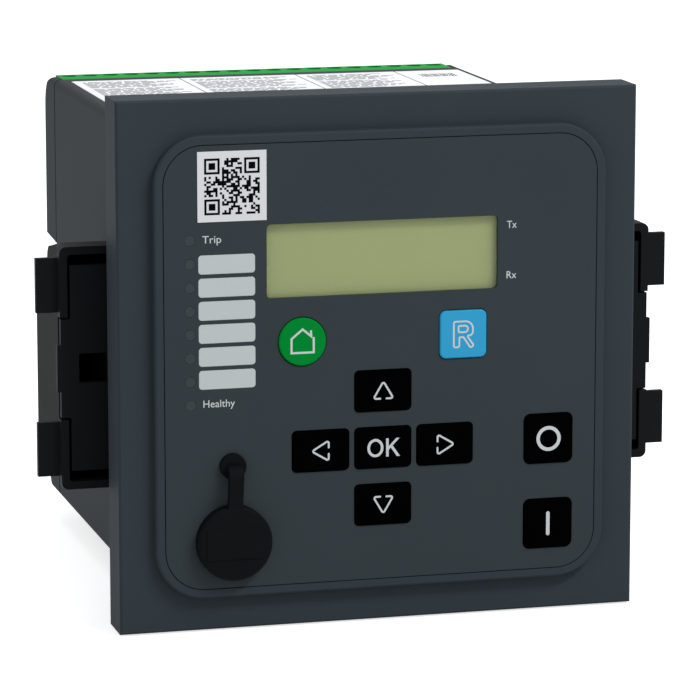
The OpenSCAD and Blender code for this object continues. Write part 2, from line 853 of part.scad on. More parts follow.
// Output relays in a row on the upper board, each with a raised rim at its base
module output_relays() color("#d9d4c4") {
    for (i = [0 : relay_n - 1])
        translate([(i - (relay_n - 1) / 2) * relay_pitch, board_y1 - relay_back, 0]) {
            tier(io_z, io_z + relay_h) rounded(relay_w, relay_l, relay_r);
            tier(io_z, io_z + relay_rim_h)
                rounded(relay_w + 2 * relay_rim_w, relay_l + 2 * relay_rim_w, relay_r);
        }
}

// Pin header at the rear edge of the upper board
module terminal_header() color("#1f8a42") {
    z0 = plug_z0 + header_step;
    z1 = plug_z1 - header_drop;
    bar(-header_w / 2, header_w / 2) polygon([
        [board_y1 - header_l, io_z], [board_y1, io_z], [board_y1, z0],
        [plug_y0, z0], [plug_y0, z1], [board_y1 - header_l, z1]
    ]);
}

// Current transformers: wound rings on feet, in a row on the lower board
module current_transformers() color("#7d4a1c") {
    for (i = [0 : ct_n - 1])
        translate([(i - (ct_n - 1) / 2) * ct_pitch, board_y1 - ct_back, ct_z]) {
            translate([0, ct_l / 2, ct_r + ct_lift]) rotate([90, 0, 0]) rotate_extrude()
                translate([ct_bore, 0]) square([ct_r - ct_bore, ct_l]);
            tier(0, ct_foot_h) square([ct_foot_w, ct_l], center = true);
        }
}

// Supply transformer on the lower board: a core round a longer coil
module supply_transformer() color("#33302b") translate([core_x, board_y0 + core_front, 0]) {
    tier(ct_z, ct_z + core_h) square([core_w, core_l], center = true);
    tier(ct_z + coil_inset, ct_z + core_h - coil_inset) rounded(coil_w, coil_l, coil_r);
}

// Rear cover: box-shaped upper half with cheeks beside the control terminals,
// a plate behind the current terminals and a strip along the bottom
module rear_cover() color("#45494c") difference() {
    shelf_z = plug_z0 - shelf_gap;
    intersection() {
        slab(y_seam, y_cover) case_outline(0);
        bar(-case_w / 2, case_w / 2) cover_profile();
    }
    bar(-cheek_x, cheek_x) translate([y_seam - overlap, shelf_z]) square([cover_d + cut_past, case_h]);
    bar(-cheek_x, cheek_x) translate([y_seam - overlap, cover_z + cover_wall])
        square([cover_d - cover_wall, shelf_z - cover_z - 2 * cover_wall]);
    for (side = [0, 1]) mirror([side, 0, 0]) cube_between(
        [case_w / 2 - plate_inset, y_seam - overlap, block_z0 - strip_gap],
        [case_w / 2 + cut_past, y_seam + plate_t + cut_past, cover_z - cover_drop]);
    slab(y_seam - overlap, y_seam + seam_w) difference() {
        square([case_w + 2 * cut_past, case_h + 2 * (case_low + cut_past)], center = true);
        case_outline(seam_t);
    }
    slab(y_seam - overlap, y_cover + overlap) {
        post_places() circle(thread_d / 2 + seat_fit);
        translate([earth_x, earth_z]) circle(earth_d / 2 + seat_fit);
    }
    slab(post_seat[1], y_cover + overlap) for (side = [-1, 1])
        translate([side * post_x, post_z[1]]) circle(screw_head_d / 2 + side_fit);
}

// Box between two opposite corners
module cube_between(p, q) translate(p) cube(q - p);

// Side view of the rear cover
module cover_profile() {
    top = case_h / 2;
    foot = top + case_low;
    strip_h = block_z0 - strip_gap + foot;
    polygon([
        [y_seam, cover_z - cover_drop], [y_cover, cover_z], [y_cover, top - cover_r],
        [y_cover - cover_r, top], [y_seam, top]
    ]);
    translate([y_cover - cover_r, top - cover_r]) circle(cover_r);
    translate([y_seam, -foot]) square([plate_t, foot + top - cover_r]);
    translate([y_seam, -foot]) square([cover_d - strip_r, strip_h]);
    translate([y_seam, strip_r - foot]) square([cover_d, strip_h - strip_r]);
    intersection() {
        translate([y_cover - strip_r, strip_r - foot]) circle(strip_r);
        translate([y_cover - strip_r, -foot]) square(strip_r);
    }
}

// Screws of the rear cover, the lower ones with their heads sunk in the strip
module cover_screws() color("#b9bcc0") {
    for (side = [-1, 1], i = [0, 1]) translate([side * post_x, 0, post_z[i]]) pan_screw(
        post_seat[i], screw_head_d, screw_head_h, thread_d - seat_fit,
        post_seat[i] - y_seam + post_l - thread_spare);
}

// Places of the control terminals, side by side
module pole_places() {
    for (i = [0 : pole_n - 1]) translate([(i - (pole_n - 1) / 2) * pole_pitch, 0, 0]) children();
}

// Control terminal plug: sloped rear top, a screw well above and a wire entry behind each pole
module terminal_plug() color("#22a04a") difference() {
    bar(-plug_w / 2, plug_w / 2) polygon([
        [plug_y0, plug_z0], [plug_y1, plug_z0], [plug_y1, plug_z1 - plug_slope_h],
        [plug_y0 + plug_flat, plug_z1], [plug_y0, plug_z1]
    ]);
    pole_places() {
        tier(plug_z1 - well_depth, plug_z1 + cut_past) translate([0, well_y]) circle(pole_hole_d / 2);
        slab(plug_y1 - entry_l, plug_y1 + cut_past) translate([0, entry_z])
            square([entry_w, entry_h], center = true);
    }
}

// Slotted clamp screws in the wells of the plug
module terminal_screws() color("#b9bcc0") pole_places() {
    z0 = plug_z1 - well_depth;
    translate([0, well_y, 0]) difference() {
        tier(z0, z0 + screw_rise) circle(pole_hole_d / 2 - side_fit);
        tier(z0 + screw_rise - slot_depth, z0 + screw_rise + cut_past)
            square([pole_hole_d, slot_w], center = true);
    }
}

// Current terminal block: base with a round top edge and a row of barrier ribs
module current_block() color("#3b3c3c") difference() {
    union() {
        bar(-case_w / 2, case_w / 2) block_profile();
        for (i = [0 : cell_n]) translate([i * cell_pitch - case_w / 2, 0, 0])
            bar(0, rib_t) translate([y_cover - rib_root, rib_z0]) square([rib_d + rib_root, rib_h]);
    }
    cube_between(
        [-case_w / 2 + plate_inset - side_fit, y_seam - cut_past, block_z0 - cut_past],
        [case_w / 2 - plate_inset + side_fit, y_seam + plate_t, block_z1 + cut_past]);
    cell_places() slab(cell_y - current_shank_l - thread_spare, cell_y + cut_past)
        translate([0, cell_z]) circle(current_d / 2 + seat_fit);
}

// Side view of the block: base and the raised strip that carries the terminals
module block_profile() {
    y1 = y_cover + block_proud;
    z1 = block_z1 - block_slope;
    polygon([
        [y_seam, block_z0], [y1, block_z0], [y1, z1 - block_r], [y1 - block_r, z1], [y_seam, block_z1]
    ]);
    translate([y1 - block_r, z1 - block_r]) circle(block_r);
    translate([y_cover - rib_root, cell_z - clamp_w]) square([cell_y - y_cover + rib_root, 2 * clamp_w]);
}

// Places of the current terminals, between the ribs
module cell_places() {
    for (i = [0 : cell_n - 1])
        translate([(i + 0.5) * cell_pitch - case_w / 2 + rib_t / 2, 0, 0]) children();
}

// Current terminal screws, each with a square clamp plate
module current_screws() color("#c2b27a") cell_places() translate([0, 0, cell_z]) {
    slab(cell_y, cell_y + clamp_t) square(clamp_w, center = true);
    pan_screw(
        cell_y + clamp_t - overlap, current_head_d, current_head_h, current_d, current_shank_l + clamp_t);
}

// Earth screw with its washer on the rear cover
module earth_screw() color("#c2b27a") translate([earth_x, 0, earth_z]) {
    slab(y_cover, y_cover + clamp_t) circle(earth_washer_d / 2);
    pan_screw(y_cover + clamp_t - overlap, current_head_d, current_head_h, earth_d, cover_wall + earth_shank);
}

// Side clip on +X: a rimmed tray that tapers back to the case, a slotted leaf across the
// tray, two ears for the fingers and a slot that runs on the case's rail
module side_clip() translate([0, 0, clip_z]) difference() {
    union() {
        clip_tray();
        clip_leaf();
        for (s = [-1, 1]) clip_ear(s);
    }
    rail_slot();
}

// Outline of a clip's rim, drawn in by an inset
module rim_outline(inset) {
    x0 = clip_x0 + inset;
    x1 = clip_x1 - inset;
    h = clip_h - 2 * inset;
    r = max(clip_r - inset, rim_inner_r);
    translate([x0, -h / 2]) square([x1 - x0 - r, h]);
    translate([x0, -h / 2 + r]) square([x1 - x0, h - 2 * r]);
    for (s = [-1, 1]) translate([x1 - r, s * (h / 2 - r)]) circle(r);
}

// Plan of the tray: wide at the front, tapering to the case
module tray_plan(inset) {
    y0 = clip_y + rim_t - overlap;
    y1 = clip_y + clip_l - inset;
    polygon([
        [clip_x0 + inset, y0], [clip_x1 - inset, y0],
        [clip_x0 + tail_w - inset, y1], [clip_x0 + inset, y1]
    ]);
}

// Side view of the tray: even at the front, then lower towards its tail
module tray_side(inset) {
    h = clip_h / 2 - inset;
    y0 = clip_y + rim_t - overlap;
    y1 = clip_y + clip_l;
    polygon([
        [y0, -h], [clip_y + roof_l, -h], [y1, tail_drop - h],
        [y1, h - tail_drop], [clip_y + roof_l, h], [y0, h]
    ]);
}

// Body of the tray, drawn in by an inset to hollow it
module tray_body(inset) intersection() {
    tier(-clip_h / 2, clip_h / 2) tray_plan(inset);
    bar(clip_x0, clip_x1) tray_side(inset);
}

// Tray: an open rim in front, cut for the leaf's tongue, and thin walls behind it
module clip_tray() {
    difference() {
        slab(clip_y, clip_y + rim_t) rim_outline(0);
        slab(clip_y - overlap, clip_y + rim_t + overlap) rim_outline(clip_wall);
        cube_between([clip_x1 - clip_wall - overlap, clip_y - cut_past, -tongue_h / 2],
            [clip_x1 + cut_past, clip_y + rim_t + overlap, tongue_h / 2]);
    }
    difference() {
        tray_body(0);
        tray_body(clip_wall);
        slab(clip_y, clip_y + clip_l) difference() {
            translate([clip_x1 - clip_r, -clip_h / 2 - cut_past])
                square([clip_r + cut_past, clip_h + 2 * cut_past]);
            rim_outline(0);
        }
    }
}

// Leaf: plate across the tray with a window, a tongue through the rim and a thumb bump
module clip_leaf() {
    h = clip_h - 2 * clip_wall - 2 * leaf_gap;
    slab(clip_y + leaf_back, clip_y + leaf_back + leaf_t) difference() {
        union() {
            translate([clip_x0, -h / 2]) square([clip_x1 - clip_wall - leaf_side - clip_x0, h]);
            translate([clip_x0, -tongue_h / 2 + tongue_end])
                square([clip_x1 - tongue_side - clip_x0, tongue_h - 2 * tongue_end]);
            translate([clip_x0, -bump_h / 2]) square([clip_x1 + bump_reach - clip_x0, bump_h]);
        }
        translate([clip_x1 - window_x - window_w, -window_w / 2]) square(window_w);
    }
}

// Ear: flat finger tab beside the rim, above or below the middle
module clip_ear(s) {
    z0 = ear_z * s - ear_h / 2;
    slab(clip_y + rim_t - overlap, clip_y + rim_t + ear_t)
        translate([clip_x1 - clip_wall, z0]) square([clip_wall + ear_reach, ear_h]);
}

// Slot for the rail, clear of its neck and head all round
module rail_slot() {
    x1 = case_w / 2 + rail_neck_t - side_fit;
    y0 = clip_y - cut_past;
    y1 = clip_y + clip_l + cut_past;
    neck = rail_neck + side_fit;
    head = rail_head + side_fit;
    cube_between([clip_x0 - cut_past, y0, -neck], [x1 + cut_past, y1, neck]);
    cube_between([x1, y0, -head], [x1 + rail_head_t + 2 * side_fit, y1, head]);
}

// The two clips, each the mirror image of the other
module clip_right() color("#151618") side_clip();
module clip_left() color("#151618") mirror([1, 0, 0]) side_clip();

bezel();
panel_gasket();
front_overlay();
lcd_window();
lcd_panel();
indicator_lenses();
marking_fields();
code_label();
key_up();
key_down();
key_left();
key_right();
key_ok();
key_home();
key_reset();
key_open();
key_close();
keypad_mat();
display_board();
board_spacers();
board_screws();
socket_shell();
socket_insert();
cap_anchor();
socket_cap();
processor_board();
board_connectors();
case();
top_label();
io_board();
output_relays();
terminal_header();
current_board();
current_transformers();
supply_transformer();
rear_cover();
cover_screws();
terminal_plug();
terminal_screws();
current_block();
current_screws();
earth_screw();
clip_left();
clip_right();
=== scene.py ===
import math

import bmesh
import bpy
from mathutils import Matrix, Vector


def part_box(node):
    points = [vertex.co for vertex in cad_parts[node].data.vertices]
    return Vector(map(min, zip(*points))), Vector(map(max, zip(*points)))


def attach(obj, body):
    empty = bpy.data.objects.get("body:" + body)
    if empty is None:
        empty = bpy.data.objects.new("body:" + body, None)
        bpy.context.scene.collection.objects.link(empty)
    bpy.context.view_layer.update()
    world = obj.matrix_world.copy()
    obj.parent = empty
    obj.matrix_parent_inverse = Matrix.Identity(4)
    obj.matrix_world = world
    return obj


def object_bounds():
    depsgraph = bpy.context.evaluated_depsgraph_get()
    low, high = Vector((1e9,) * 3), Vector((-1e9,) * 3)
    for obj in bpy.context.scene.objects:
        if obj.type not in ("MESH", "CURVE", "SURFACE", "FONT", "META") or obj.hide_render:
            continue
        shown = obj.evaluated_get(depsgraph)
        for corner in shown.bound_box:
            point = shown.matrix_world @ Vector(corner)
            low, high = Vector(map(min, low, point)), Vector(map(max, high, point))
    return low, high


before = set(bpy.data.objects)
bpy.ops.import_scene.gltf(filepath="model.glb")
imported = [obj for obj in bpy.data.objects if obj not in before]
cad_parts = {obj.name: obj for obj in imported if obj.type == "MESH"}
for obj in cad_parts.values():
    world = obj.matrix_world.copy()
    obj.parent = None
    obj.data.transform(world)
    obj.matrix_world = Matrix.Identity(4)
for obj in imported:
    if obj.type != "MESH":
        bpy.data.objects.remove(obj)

# Case
# A deep tube of glass-filled polycarbonate, moulded in one piece with rails for the side clips.
# Its front edge sits in the back of the frame, and guides inside it hold the rear boards.
cad_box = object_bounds()
MM = 0.001


def linear(hex_code):
    """Turn an sRGB hex colour into the linear one that a shader takes."""
    channels = [int(hex_code[i:i + 2], 16) / 255 for i in (1, 3, 5)]
    return [c / 12.92 if c <= 0.04045 else ((c + 0.055) / 1.055) ** 2.4 for c in channels] + [1.0]


def tint(hex_code, factor):
    """A hex colour in linear values, made darker or lighter by a factor."""
    return [c * factor for c in linear(hex_code)[:3]] + [1.0]


def add(tree, kind, inputs=None, **settings):
    """Add a shader node, set its values and link those inputs that name another node's output.

    An input goes by its name, or by its number where several share a name.
    """
    node = tree.nodes.new(kind)
    for name, value in settings.items():
        setattr(node, name, value)
    for socket, value in (inputs or {}).items():
        if isinstance(value, tuple) and isinstance(value[0], bpy.types.Node):
            tree.links.new(value[0].outputs[value[1]], node.inputs[socket])
        else:
            node.inputs[socket].default_value = value
    return node


# The two colours that a Mix node takes and the one that it gives.
mix_a, mix_b, mix_out = 6, 7, 2


def new_material(name):
    """Make an empty material and return it with its node tree."""
    material = bpy.data.materials.new(name)
    material.use_nodes = True
    material.node_tree.nodes.clear()
    return material, material.node_tree


def dress(names, material):
    """Put a material on CAD nodes."""
    for name in names:
        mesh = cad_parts[name].data
        mesh.materials.clear()
        mesh.materials.append(material)


def moulded_plastic(name, hex_code, roughness, relief_mm=0.012, shade=0.06, specular=0.05):
    """Moulded plastic: an even colour that drifts a little, a pebbled grain and softly rounded edges."""
    grain_mm, drift_mm, edge_mm, gloss_swing = 0.45, 40, 0.25, 0.06
    material, tree = new_material(name)
    place = add(tree, "ShaderNodeTexCoord")
    grain = add(tree, "ShaderNodeTexNoise", {
        "Vector": (place, "Object"), "Scale": 1 / (grain_mm * MM), "Detail": 3.0, "Roughness": 0.6})
    drift = add(tree, "ShaderNodeTexNoise", {
        "Vector": (place, "Object"), "Scale": 1 / (drift_mm * MM), "Detail": 1.0})
    tone = add(tree, "ShaderNodeMix", {
        "Factor": (drift, "Fac"), mix_a: tint(hex_code, 1 - shade), mix_b: tint(hex_code, 1 + shade)},
        data_type="RGBA")
    gloss = add(tree, "ShaderNodeMapRange", {
        "Value": (grain, "Fac"), "To Min": roughness + gloss_swing, "To Max": roughness - gloss_swing})
    edge = add(tree, "ShaderNodeBevel", {"Radius": edge_mm * MM}, samples=6)
    relief = add(tree, "ShaderNodeBump", {
        "Height": (grain, "Fac"), "Distance": relief_mm * MM, "Strength": 0.6, "Normal": (edge, "Normal")})
    surface = add(tree, "ShaderNodeBsdfPrincipled", {
        "Base Color": (tone, mix_out), "Roughness": (gloss, "Result"), "Normal": (relief, "Normal"),
        "IOR": 1.5, "Specular IOR Level": specular})
    add(tree, "ShaderNodeOutputMaterial", {"Surface": (surface, "BSDF")})
    return material


# The eroded mould leaves a matt, pebbled skin, and the fibres keep its grey a little uneven.
case_plastic = moulded_plastic("glass-filled polycarbonate, grey", "#383d40", 0.6, specular=0.02)
dress(["case"], case_plastic)

# Rear boards
# Two boards of epoxy glass that slide into the case's guides, one above the other.
# Their copper tracks lie under a green solder lacquer.
track_mm, track_rise_mm = 2.54, 0.03
# The lacquer is glossy, and the tracks show through it a shade lighter and slightly raised.
board_lacquer, tree = new_material("solder lacquer on epoxy glass")
place = add(tree, "ShaderNodeTexCoord")
tracks = add(tree, "ShaderNodeTexBrick", {
    "Vector": (place, "Object"), "Color1": linear("#1f5a36"), "Color2": linear("#215f39"),
    "Mortar": linear("#2f7a4a"), "Scale": 1 / (track_mm * MM), "Mortar Size": 0.06,
    "Brick Width": 7.0, "Row Height": 0.5})
step = add(tree, "ShaderNodeBump", {
    "Height": (tracks, "Fac"), "Distance": track_rise_mm * MM, "Strength": 0.5})
surface = add(tree, "ShaderNodeBsdfPrincipled", {
    "Base Color": (tracks, "Color"), "Roughness": 0.3, "Normal": (step, "Normal"), "IOR": 1.5})
add(tree, "ShaderNodeOutputMaterial", {"Surface": (surface, "BSDF")})
dress(["io_board", "current_board"], board_lacquer)

# Output relays and board plugs
# Sealed relays stand in a row on the upper board, and ivory plugs join both boards to the front.
# A polished mould gives their nylon housings a smooth skin with a soft shine.
dress(["output_relays", "board_connectors"],
      moulded_plastic("nylon, ivory", "#d9d4c4", 0.4, relief_mm=0.004))

# Current transformers
# Rings of enamelled copper wire on the lower board, one for each measured current.
# The wire is wound turn beside turn on each ring.
wire_mm, ridge_mm = 0.6, 0.15
# The length of a wave texture's waves at a scale of one.
wave_length = math.pi / 10
# The enamel gives a warm brown shine. A painted highlight makes each turn's crest brighter, and painted
# shade darkens the grooves between the turns.
winding, tree = new_material("enamelled copper winding")
place = add(tree, "ShaderNodeTexCoord")
turns = add(tree, "ShaderNodeTexWave", {
    "Vector": (place, "Object"), "Scale": wave_length / (wire_mm * MM), "Distortion": 0.4},
    wave_type="BANDS", bands_direction="DIAGONAL")
# Painted highlight on the crests and painted shade between the turns, following the same bands as the
# ridges.
copper = add(tree, "ShaderNodeMix", {
    "Factor": (turns, "Fac"), mix_a: linear("#5a2d10"), mix_b: linear("#a8622a")}, data_type="RGBA")
ridge = add(tree, "ShaderNodeBump", {
    "Height": (turns, "Fac"), "Distance": ridge_mm * MM, "Strength": 0.8})
surface = add(tree, "ShaderNodeBsdfPrincipled", {
    "Base Color": (copper, mix_out), "Roughness": 0.3, "Metallic": 0.6, "Normal": (ridge, "Normal")})
add(tree, "ShaderNodeOutputMaterial", {"Surface": (surface, "BSDF")})
dress(["current_transformers"], winding)

# Supply transformer
# A stack of varnished steel sheets round a taped coil.
# It is soldered to the lower board.
sheet_mm = 0.5
# The varnish is dark and dull, and the edges of the sheets show through it as fine stripes.
stack, tree = new_material("varnished transformer sheets")
place = add(tree, "ShaderNodeTexCoord")
sheets = add(tree, "ShaderNodeTexWave", {
    "Vector": (place, "Object"), "Scale": wave_length / (sheet_mm * MM), "Distortion": 0.2},
    wave_type="BANDS", bands_direction="Y")
varnish = add(tree, "ShaderNodeMix", {
    "Factor": (sheets, "Fac"), mix_a: linear("#26231f"), mix_b: linear("#46413a")}, data_type="RGBA")
surface = add(tree, "ShaderNodeBsdfPrincipled", {
    "Base Color": (varnish, mix_out), "Roughness": 0.45, "Metallic": 0.4})
add(tree, "ShaderNodeOutputMaterial", {"Surface": (surface, "BSDF")})
dress(["supply_transformer"], stack)

# Control terminals
# A long plug of nylon, strong green with a faint shine, pushes onto a header on the upper board.
# Each pole has a wire entry behind and a steel clamp screw in a well above.
dress(["terminal_plug", "terminal_header"],
      moulded_plastic("nylon, green", "#0a9235", 0.45, relief_mm=0.006, specular=0.01))


def bright_metal(name, hex_code, roughness):
    """Plated or turned metal: bright, and clouded a little by the plating bath or the tool."""
    cloud_mm, edge_mm, darkest = 0.25, 0.15, 0.82
    smoother, rougher = 0.08, 0.12
    material, tree = new_material(name)
    place = add(tree, "ShaderNodeTexCoord")
    cloud = add(tree, "ShaderNodeTexNoise", {
        "Vector": (place, "Object"), "Scale": 1 / (cloud_mm * MM), "Detail": 4.0})
    tone = add(tree, "ShaderNodeMix", {
        "Factor": (cloud, "Fac"), mix_a: tint(hex_code, darkest), mix_b: linear(hex_code)},
        data_type="RGBA")
    gloss = add(tree, "ShaderNodeMapRange", {
        "Value": (cloud, "Fac"), "To Min": roughness - smoother, "To Max": roughness + rougher})
    edge = add(tree, "ShaderNodeBevel", {"Radius": edge_mm * MM}, samples=6)
    surface = add(tree, "ShaderNodeBsdfPrincipled", {
        "Base Color": (tone, mix_out), "Roughness": (gloss, "Result"), "Metallic": 1.0,
        "Normal": (edge, "Normal")})
    add(tree, "ShaderNodeOutputMaterial", {"Surface": (surface, "BSDF")})
    return material


# Zinc makes the screws a cool, bright grey.
zinc = bright_metal("zinc-plated steel", "#c3c6c9", 0.32)
dress(["terminal_screws"], zinc)

# Rear cover
# A moulded cover of the same plastic as the case, screwed to posts inside it.
# An earth screw of passivated steel sits in its back.
dress(["rear_cover"], case_plastic)
dress(["cover_screws"], zinc)
# The passivation gives the bright steel a yellow tinge.
yellow_steel = bright_metal("yellow-passivated steel", "#cdbb7c", 0.34)
dress(["earth_screw"], yellow_steel)

# Current terminals
# A block with barrier ribs, moulded in matt, near-black polyester and held behind the cover.
# The screws between the ribs and their clamp plates are passivated steel.
dress(["current_block"], moulded_plastic("polyester moulding, dark grey", "#292a2a", 0.65, specular=0.02))
dress(["current_screws"], yellow_steel)

# Top label
# A sheet of white polyester film stuck on the case.
# It is printed with plain rows in grey, and with column lines and a block of stripes in black.


def label_film(name, dark, light):
    """Plastic label film: smooth, a little glossy and faintly clouded between two shades."""
    haze_mm = 6
    material, tree = new_material(name)
    place = add(tree, "ShaderNodeTexCoord")
    haze = add(tree, "ShaderNodeTexNoise", {
        "Vector": (place, "Object"), "Scale": 1 / (haze_mm * MM), "Detail": 2.0})
    tone = add(tree, "ShaderNodeMix", {
        "Factor": (haze, "Fac"), mix_a: linear(dark), mix_b: linear(light)}, data_type="RGBA")
    surface = add(tree, "ShaderNodeBsdfPrincipled", {
        "Base Color": (tone, mix_out), "Roughness": 0.4, "IOR": 1.5, "Specular IOR Level": 0.1})
    add(tree, "ShaderNodeOutputMaterial", {"Surface": (surface, "BSDF")})
    return material


# The film is a clean, slightly cool white.
dress(["top_label"], label_film("polyester film, white", "#e8e9ec", "#eeeff2"))


def printed_ink(name, hex_code):
    """Screen-printed ink: a matt, solid colour that the mesh of the screen leaves slightly uneven."""
    screen_mm, thin, thick = 0.3, 0.94, 1.04
    material, tree = new_material(name)
    place = add(tree, "ShaderNodeTexCoord")
    screen = add(tree, "ShaderNodeTexNoise", {
        "Vector": (place, "Object"), "Scale": 1 / (screen_mm * MM)})
    tone = add(tree, "ShaderNodeMix", {
        "Factor": (screen, "Fac"), mix_a: tint(hex_code, thin), mix_b: tint(hex_code, thick)},
        data_type="RGBA")
    surface = add(tree, "ShaderNodeBsdfPrincipled", {
        "Base Color": (tone, mix_out), "Roughness": 0.55, "Specular IOR Level": 0.03})
    add(tree, "ShaderNodeOutputMaterial", {"Surface": (surface, "BSDF")})
    return material


def print_piece(name, faces, lift, material, body):
    """Make a thin layer of ink from flat faces, given as lists of points, lifted along one direction."""
    weld_mm = 0.001
    mesh = bmesh.new()
    for corners in faces:
        mesh.faces.new([mesh.verts.new(p) for p in corners])
    bmesh.ops.remove_doubles(mesh, verts=mesh.verts, dist=weld_mm * MM)
    top = bmesh.ops.extrude_face_region(mesh, geom=list(mesh.faces))
    raised = [v for v in top["geom"] if isinstance(v, bmesh.types.BMVert)]
    bmesh.ops.translate(mesh, vec=lift, verts=raised)
    bmesh.ops.recalc_face_normals(mesh, faces=mesh.faces)
    data = bpy.data.meshes.new(name)
    mesh.to_mesh(data)
    mesh.free()
    data.materials.append(material)
    piece = bpy.data.objects.new(name, data)
    bpy.context.scene.collection.objects.link(piece)
    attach(piece, body)


ink_lift = 0.02 * MM
label_low, label_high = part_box("top_label")


def label_bar(x, y, w, h):
    """A rectangle on the top label, from its left front corner."""
    z = label_high.z
    return [(x, y, z), (x + w, y, z), (x + w, y + h, z), (x, y + h, z)]


def scatter(turn, spread):
    """A share from 0 to 1 that jumps about as the turn goes on, and is always the same for one turn."""
    return math.sin(turn) * spread % 1


# Three columns of rows. Bars of uneven length break each row as words would, the rows end unevenly
# and some stay blank.
column_lines = [-28.1 * MM, 9.05 * MM, 41.2 * MM]
margin, row_step, row_h = 2.5 * MM, 1.75 * MM, 0.8 * MM
word_least, word_range, word_gap, word_room = 1.0 * MM, 4.2 * MM, 0.8 * MM, 1.5 * MM
ragged_n, ragged_step = 4, 2.6 * MM
blank_every, row_pace, column_pace = 11, 5, 3
row_seed, column_seed, word_turn, word_spread = 31, 17, 12.99, 437.59
row_n = int((label_high.y - label_low.y - 2 * margin) / row_step)
bars = []
for column, (left, right) in enumerate(zip([label_low.x] + column_lines, column_lines)):
    for row in range(row_n):
        if (row * row_pace + column * column_pace) % blank_every == 0:
            continue
        x, y = left + margin, label_low.y + margin + row * row_step
        seed = row * row_seed + column * column_seed
        stop = right - margin - seed % ragged_n * ragged_step
        while x < stop - word_room:
            word_w = min(word_least + word_range * scatter(seed * word_turn, word_spread), stop - x)
            bars.append(label_bar(x, y, word_w, row_h))
            x += word_w + word_gap
            seed += 1
grey_ink = printed_ink("grey label ink", "#6c7074")
print_piece("top_label_print", bars, (0, 0, ink_lift), grey_ink, "housing")

# Lines between the columns, and a block of stripes in the last one.
line_w, label_l = 0.3 * MM, label_high.y - label_low.y
block_x, block_back, block_h = 46.5 * MM, 16 * MM, 7 * MM
stripe_n, stripe_step, stripe_least, stripe_more, stripe_kinds = 12, 0.95 * MM, 0.3 * MM, 0.2 * MM, 3
marks = [label_bar(x - line_w / 2, label_low.y, line_w, label_l) for x in column_lines]
for k in range(stripe_n):
    stripe_w = stripe_least + stripe_more * (k * k % stripe_kinds)
    marks.append(label_bar(block_x + k * stripe_step, label_high.y - block_back, stripe_w, block_h))
black_ink = printed_ink("black ink", "#010101")
print_piece("top_label_marks", marks, (0, 0, ink_lift), black_ink, "housing")

# Front frame
# A square polycarbonate moulding with a raised centre, a little smoother and bluer than the case.
# The front boards sit inside it, and a rubber cord in its back seals it to the panel.
dress(["bezel"], moulded_plastic("polycarbonate front frame, grey", "#353c41", 0.55, specular=0.02))


def moulded_rubber(name, hex_code, roughness):
    """Moulded rubber: matt and soft at the edges, with a faint bloom on its skin."""
    skin_mm, relief_mm, bloom_mm, edge_mm = 0.35, 0.01, 9, 0.4
    bare, bloomed = 0.85, 1.2
    material, tree = new_material(name)
    place = add(tree, "ShaderNodeTexCoord")
    skin = add(tree, "ShaderNodeTexNoise", {
        "Vector": (place, "Object"), "Scale": 1 / (skin_mm * MM), "Detail": 3.0})
    bloom = add(tree, "ShaderNodeTexNoise", {"Vector": (place, "Object"), "Scale": 1 / (bloom_mm * MM)})
    tone = add(tree, "ShaderNodeMix", {
        "Factor": (bloom, "Fac"), mix_a: tint(hex_code, bare), mix_b: tint(hex_code, bloomed)},
        data_type="RGBA")
    edge = add(tree, "ShaderNodeBevel", {"Radius": edge_mm * MM}, samples=6)
    relief = add(tree, "ShaderNodeBump", {
        "Height": (skin, "Fac"), "Distance": relief_mm * MM, "Strength": 0.5, "Normal": (edge, "Normal")})
    surface = add(tree, "ShaderNodeBsdfPrincipled", {
        "Base Color": (tone, mix_out), "Roughness": roughness, "Normal": (relief, "Normal"),
        "IOR": 1.5, "Specular IOR Level": 0.04})
    add(tree, "ShaderNodeOutputMaterial", {"Surface": (surface, "BSDF")})
    return material


# Carbon black makes the rubber a deep, dull black.
rubber = moulded_rubber("black rubber", "#0d0e10", 0.62)
dress(["panel_gasket"], rubber)

# Front boards
# The display board stands on bosses in the frame, and the processor board on brass spacers behind it.
# A silicone mat with the switch domes lies on the display board.
dress(["display_board", "processor_board"], board_lacquer)
dress(["board_screws"], zinc)
# The tool leaves the brass a warm, bright yellow.
dress(["board_spacers"], bright_metal("turned brass", "#b08d45", 0.3))
# The silicone is a dull mid grey.
dress(["keypad_mat"], moulded_rubber("grey silicone", "#55585c", 0.7))

# Service socket
# A folded steel shell round a plastic tongue, soldered to the processor board under the rubber cap.
# Nickel gives the shell a smooth shine, a shade darker than zinc, and the tongue is a satin black.
dress(["socket_shell"], bright_metal("nickel-plated steel", "#b4b7ba", 0.28))
dress(["socket_insert"], moulded_plastic("socket tongue, black", "#1c1e21", 0.5))

# Display
# A reflective liquid crystal glass on the display board, switched off.
# A window of clear acrylic lies over it, behind the keypad plate.
cell_mm = 0.55
# At rest the crystal is yellow-green, with a faint grid of dot cells, drawn coarser than the real one.
crystal, tree = new_material("reflective display glass")
place = add(tree, "ShaderNodeTexCoord")
cells = add(tree, "ShaderNodeTexBrick", {
    "Vector": (place, "Object"), "Color1": linear("#939d63"), "Color2": linear("#939d63"),
    "Mortar": linear("#909a60"), "Scale": 1 / (cell_mm * MM), "Mortar Size": 0.05,
    "Brick Width": 1.0, "Row Height": 1.0}, offset=0.0)
surface = add(tree, "ShaderNodeBsdfPrincipled", {
    "Base Color": (cells, "Color"), "Roughness": 0.5, "IOR": 1.5, "Specular IOR Level": 0.2})
add(tree, "ShaderNodeOutputMaterial", {"Surface": (surface, "BSDF")})
dress(["lcd_panel"], crystal)

polish_mm = 5
